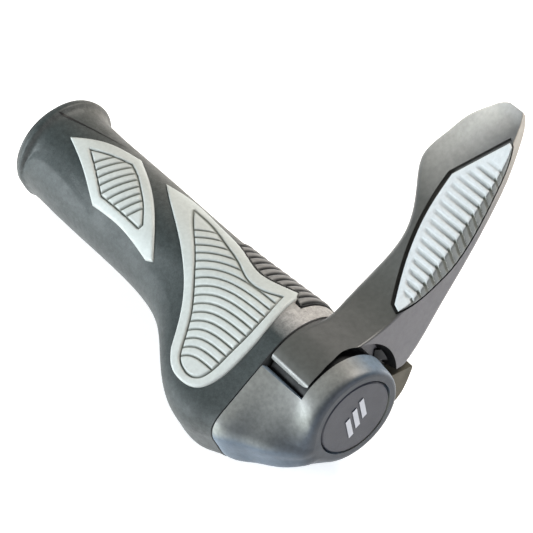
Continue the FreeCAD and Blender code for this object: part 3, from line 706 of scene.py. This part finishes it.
# The pad's plane, by its normal along x and p, and its outline in that plane as (q, v),
# where v runs outboard from the end face.
PAD_NORMAL = (0.567, 0.824)
PAD_OUTLINE = [
    [(88.7, -21.3), (70.6, -27.6)],
    [(70.6, -27.6), (58.2, -25.6), (47.1, -22.2), (37.5, -17.9), (30.7, -14.4)],
    [(30.7, -14.4), (29.4, -11.3)],
    [(29.4, -11.3), (36.4, -8.9), (44, -8.0), (50.1, -7.8), (57.2, -8.6), (65.9, -10.6), (75.1, -13.4),
     (81.5, -15.7), (87.2, -18.8)],
    [(87.2, -18.8), (88.7, -21.3)],
]


def from_pad(points):
    """Rays for outline points (q, v), cast square onto the horn pad's plane."""
    out_x, out_p = PAD_NORMAL
    normal = X_DIR * out_x + P_DIR * out_p
    across = X_DIR * out_p - P_DIR * out_x
    middle = GRIP_LENGTH * X_DIR + points[:, :1] * Q_DIR + points[:, 1:] * across
    starts = (middle + PAD_RAY_START * normal) * MM
    return starts, np.repeat(-normal[None], len(points), axis=0)


# The ridge between the pad's two facets, as q and v.
PAD_CREST = [(29, -11), (34.2, -11.3), (38.8, -11.4), (49.3, -12.7), (61.4, -14.3), (73.9, -16.1),
             (85.1, -19.2), (89, -20.6)]
PAD_FIRST_RIB, PAD_RIB_PITCH, PAD_RIBS, PAD_RIB_SWEEP = 35.6, 2.944, 17, 0.42
PAD_GAP, PAD_SHIFT, PAD_MARGIN = 0.85, 0.35, 1.2
PAD_RIM, PAD_DEPTH, PAD_RAY_START = 0.6, 1.2, 40
# The ribs fade in and out between these heights q at the pad's two tips.
PAD_FADE = [33.5, 36.5, 77, 81.5]
# Groove depth far inboard of the crest, what it gains towards the crest, and over how far.
PAD_GROOVE_DEPTH, PAD_GROOVE_GAIN, PAD_GROOVE_RAMP = 0.45, 0.5, 8
# Half widths of the grooves inboard and outboard of the crest, and how dark their painted shade is.
PAD_GROOVE_WIDTHS, PAD_GROOVE_SHADES = (0.68, 0.5), (0.55, 1.25)
# The higher this power, the squarer the grooves.
PAD_GROOVE_SQUARE = 8


def pad_height(outline, inner):
    def height(points):
        q = points[:, 0]
        past_crest = points[:, 1] - np.interp(q, *zip(*PAD_CREST))
        inboard = past_crest < 0
        across = q + PAD_RIB_SWEEP * np.clip(past_crest, 0, None) - PAD_FIRST_RIB
        number = np.clip(np.round(across / PAD_RIB_PITCH), 0, PAD_RIBS - 1)
        off = np.abs(across / PAD_RIB_PITCH - number) * PAD_RIB_PITCH
        rim, edge = distance_to(outline, points), distance_to(inner, points)
        margin = inside(inner, points) * np.clip(edge / PAD_MARGIN, 0, 1)
        tips = np.interp(q, PAD_FADE, [0, 1, 1, 0])
        fade = tips * np.where(inboard, margin, 1)
        ramp = np.clip(past_crest / PAD_GROOVE_RAMP + 1, 0, 1)
        shape = 1 / (1 + (off / np.where(inboard, *PAD_GROOVE_WIDTHS)) ** PAD_GROOVE_SQUARE)
        grooves = fade * shape * (PAD_GROOVE_DEPTH + PAD_GROOVE_GAIN * ramp)
        shade = grooves * np.where(inboard, *PAD_GROOVE_SHADES)
        return rounded_rim(rim, PAD_RIM) - grooves, np.clip(shade, 0, 1)
    return height


def horn_pad():
    outline = inset(closed_outline(PAD_OUTLINE), PAD_GAP) + (0, PAD_SHIFT)
    inner = inset(outline, PAD_MARGIN)
    points = feature_points(outline, inner, fine=0.3, coarse=0.6)
    height = pad_height(outline, inner)
    piece = inlay("horn_ribs", "horn_pad", outline, points, from_pad, height, PAD_DEPTH)
    settle(piece, "horn", "light_elastomer", FINISHES["light_elastomer"], "horn_pad")


# Edges of the panel as (x, degrees round the bar from the q direction).
FINGER_LOW, FINGER_RADIUS = -78.0, 18.0
FINGER_EDGE = [(80.2, 28), (84, 32), (88, 37), (92, 41.5), (97, 45), (104, 40), (109.3, 32)]
FINGER_CORNER = [(109.3, 32), (112.2, 42), (115.8, 46.5)]
FINGER_RIB_PITCH, FINGER_FIRST_RIB, FINGER_RIB_DEPTH = 3.3, 81.9, 1.0
FINGER_RIB_SHAPE, FINGER_RIM, FINGER_MARGIN, FINGER_RAY_START = 1.5, 0.4, 1.0, 45
# A groove's painted shade starts at this drop in mm, and darkens by this much per mm.
FINGER_SHADE_START, FINGER_SHADE_GAIN = 0.1, 4


def from_round(points):
    """Rays for points (x, arc length), cast in towards the bar's axis."""
    angle = points[:, 1:] / FINGER_RADIUS
    outward = np.cos(angle) * Q_DIR + np.sin(angle) * P_DIR
    return (points[:, :1] * X_DIR + FINGER_RAY_START * outward) * MM, -outward


def finger_height(outline):
    def height(points):
        across = (points[:, 0] - FINGER_FIRST_RIB) / FINGER_RIB_PITCH
        off = np.abs(across - np.round(across)) * 2
        bar = FINGER_RIB_DEPTH * (np.sqrt(1 - (1 - off) ** FINGER_RIB_SHAPE) - 1)
        stand = rounded_rim(distance_to(outline, points), FINGER_RIM) + bar
        return stand, np.clip((-stand - FINGER_SHADE_START) * FINGER_SHADE_GAIN, 0, 1)
    return height


def finger_insert():
    def unrolled(run):
        return [(x, math.radians(angle) * FINGER_RADIUS) for x, angle in run]

    start, end = FINGER_EDGE[0], FINGER_CORNER[-1]
    low_start, low_end = (start[0], FINGER_LOW), (end[0], FINGER_LOW)
    runs = [[low_start, start], FINGER_EDGE, FINGER_CORNER, [end, low_end], [low_end, low_start]]
    outline = inset(closed_outline([unrolled(run) for run in runs]), INSERT_GAP)
    points = feature_points(outline, inset(outline, FINGER_MARGIN), fine=0.3, coarse=0.5)
    height = finger_height(outline)
    piece = inlay("finger_pad", "finger_insert", outline, points, from_round, height, INSERT_DEPTH)
    settle(piece, "grip", "dark_elastomer", FINISHES["dark_elastomer"], "finger_insert")


DARK_LINE_PATH = [(3.3, 7.7), (12.9, 10.5), (24.5, 13.4)]
DARK_LINE_STEP, DARK_LINE_HEIGHT, DARK_LINE_DEPTH = 0.4, 0.12, 0.1
# How wide the line is at each fraction of its length.
DARK_LINE_WIDTHS = [(0, 0.1), (0.04, 0.75), (0.35, 0.5), (1, 0.12)]


def dark_top_line():
    """A thin line standing a little proud on top of the rubber, widest at its inboard end, black from
    the full painted groove shade.
    """
    centre = spline(DARK_LINE_PATH, DARK_LINE_STEP)
    along = np.gradient(centre, axis=0)
    along /= np.linalg.norm(along, axis=1)[:, None]
    width = np.interp(np.linspace(0, 1, len(centre)), *zip(*DARK_LINE_WIDTHS))
    offset = np.stack([-along[:, 1], along[:, 0]], axis=1) * width[:, None] / 2
    outline = np.vstack([centre - offset, (centre + offset)[::-1]])

    def height(points):
        # Full groove value everywhere: the finish paints the whole line as black shade.
        return np.full(len(points), DARK_LINE_HEIGHT), np.ones(len(points))

    points = centre[1:-1]
    piece = inlay("dark_line_strip", "rubber_grip", outline, points, from_above, height, DARK_LINE_DEPTH)
    settle(piece, "grip", "dark_elastomer", FINISHES["dark_elastomer"])


# ---------------------------------------------------------------- carried-over nodes

NODE_FINISH = {
    "rubber_grip": "soft_rubber",
    "end_housing": "housing_plastic",
    "end_plug": "cap_plastic",
    "badge_inlay": "badge_metal",
    "core_sleeve": "nylon",
    "wing_plate": "nylon",
    "housing_screws": "steel",
    "horn_cover": "horn_skin",
    "horn_core": "horn_composite",
    "clamp_nut": "dark_steel",
    "bolt_washer": "steel",
    "clamp_bolt": "steel",
}


def dress_nodes():
    """Gives every CAD node that is still seen its finish."""
    for node, finish in NODE_FINISH.items():
        mesh = NODES[node].data
        mesh.materials.clear()
        mesh.materials.append(FINISHES[finish])


# ---------------------------------------------------------------- studio

VIEW_AZIMUTH, VIEW_ELEVATION = math.radians(52.63), math.radians(44.49)
CAMERA_DISTANCE, SENSOR_MM, LENS_MM = 0.8, 36, 180.24
# How far the point aimed at lies from the grip's middle, to the right and up.
AIM_RIGHT, AIM_UP = 0.01994, 0.00255
CLIP_NEAR, CLIP_FAR = 0.05, 20
FLOOR_GAP, FLOOR_HALF, FLOOR_GLOW = 0.4 * MM, 1.6, 0.6
WORLD_COLOUR, WORLD_STRENGTH = (0.96, 0.98, 1.0, 1), 0.22
LIGHT_AIM = (0.08, 0.01, 0.0)
# Name, place, diameter, watts and colour.
LIGHTS = [
    ("key", (0.10, 0.50, 0.60), 0.45, 8.0, (1.0, 0.95, 0.88)),
    ("front", (-0.30, -0.80, 0.12), 0.45, 14.0, (0.88, 0.96, 1.0)),
    ("side", (0.75, 0.05, 0.12), 0.4, 1.2, (0.93, 0.92, 1.0)),
]


def camera():
    """Looks at the grip's middle from the photo's side, then turns to frame the horn too."""
    back = Vector((math.sin(VIEW_AZIMUTH) * math.cos(VIEW_ELEVATION),
                   -math.cos(VIEW_AZIMUTH) * math.cos(VIEW_ELEVATION), math.sin(VIEW_ELEVATION)))
    up = (Vector((0, 0, 1)) - back * back.z).normalized()
    right = up.cross(back)
    target = Vector((GRIP_LENGTH * MM / 2, 0, 0))
    place = target + back * CAMERA_DISTANCE
    back = (place - target - right * AIM_RIGHT - up * AIM_UP).normalized()
    right = (right - back * right.dot(back)).normalized()
    up = back.cross(right)
    data = bpy.data.cameras.new("camera")
    data.sensor_width, data.lens = SENSOR_MM, LENS_MM
    data.clip_start, data.clip_end = CLIP_NEAR, CLIP_FAR
    made = bpy.data.objects.new("camera", data)
    bpy.context.scene.collection.objects.link(made)
    made.matrix_world = Matrix((right, up, back)).transposed().to_4x4()
    made.location = place
    bpy.context.scene.camera = made


def area_light(name, place, size, watts, colour):
    """A round soft light that faces the part."""
    data = bpy.data.lights.new(name, "AREA")
    data.shape, data.size, data.energy, data.color = "DISK", size, watts, colour
    made = bpy.data.objects.new(name, data)
    bpy.context.scene.collection.objects.link(made)
    made.location = place
    made.rotation_mode = "QUATERNION"
    made.rotation_quaternion = (Vector(LIGHT_AIM) - Vector(place)).to_track_quat("-Z", "Y")


def floor():
    """A plain pale sheet that glows a little, so that it stays white under the part."""
    low = CAD_BOX[0].z - FLOOR_GAP
    signs = [(-1, -1), (1, -1), (1, 1), (-1, 1)]
    corners = [(x * FLOOR_HALF, y * FLOOR_HALF, low) for x, y in signs]
    made = new_object("floor", corners, [[0, 1, 2, 3]])
    finish = Finish("floor_paper", (0.9, 0.9, 0.9), 0.85, 0.2)
    finish.shader.inputs["Emission Color"].default_value = (1, 1, 1, 1)
    finish.shader.inputs["Emission Strength"].default_value = FLOOR_GLOW
    made.data.materials.append(finish.mottle(12, 0.01).grain(500, 0.02).finished())


def studio():
    scene = bpy.context.scene
    scene.view_settings.view_transform = "Standard"
    scene.cycles.use_denoising = True
    world = bpy.data.worlds.new("studio")
    world.use_nodes = True
    backdrop = world.node_tree.nodes["Background"]
    backdrop.inputs["Color"].default_value = WORLD_COLOUR
    backdrop.inputs["Strength"].default_value = WORLD_STRENGTH
    scene.world = world
    for light in LIGHTS:
        area_light(*light)
    floor()
    camera()


dress_nodes()
palm_insert()
thumb_insert()
horn_pad()
finger_insert()
dark_top_line()
studio()
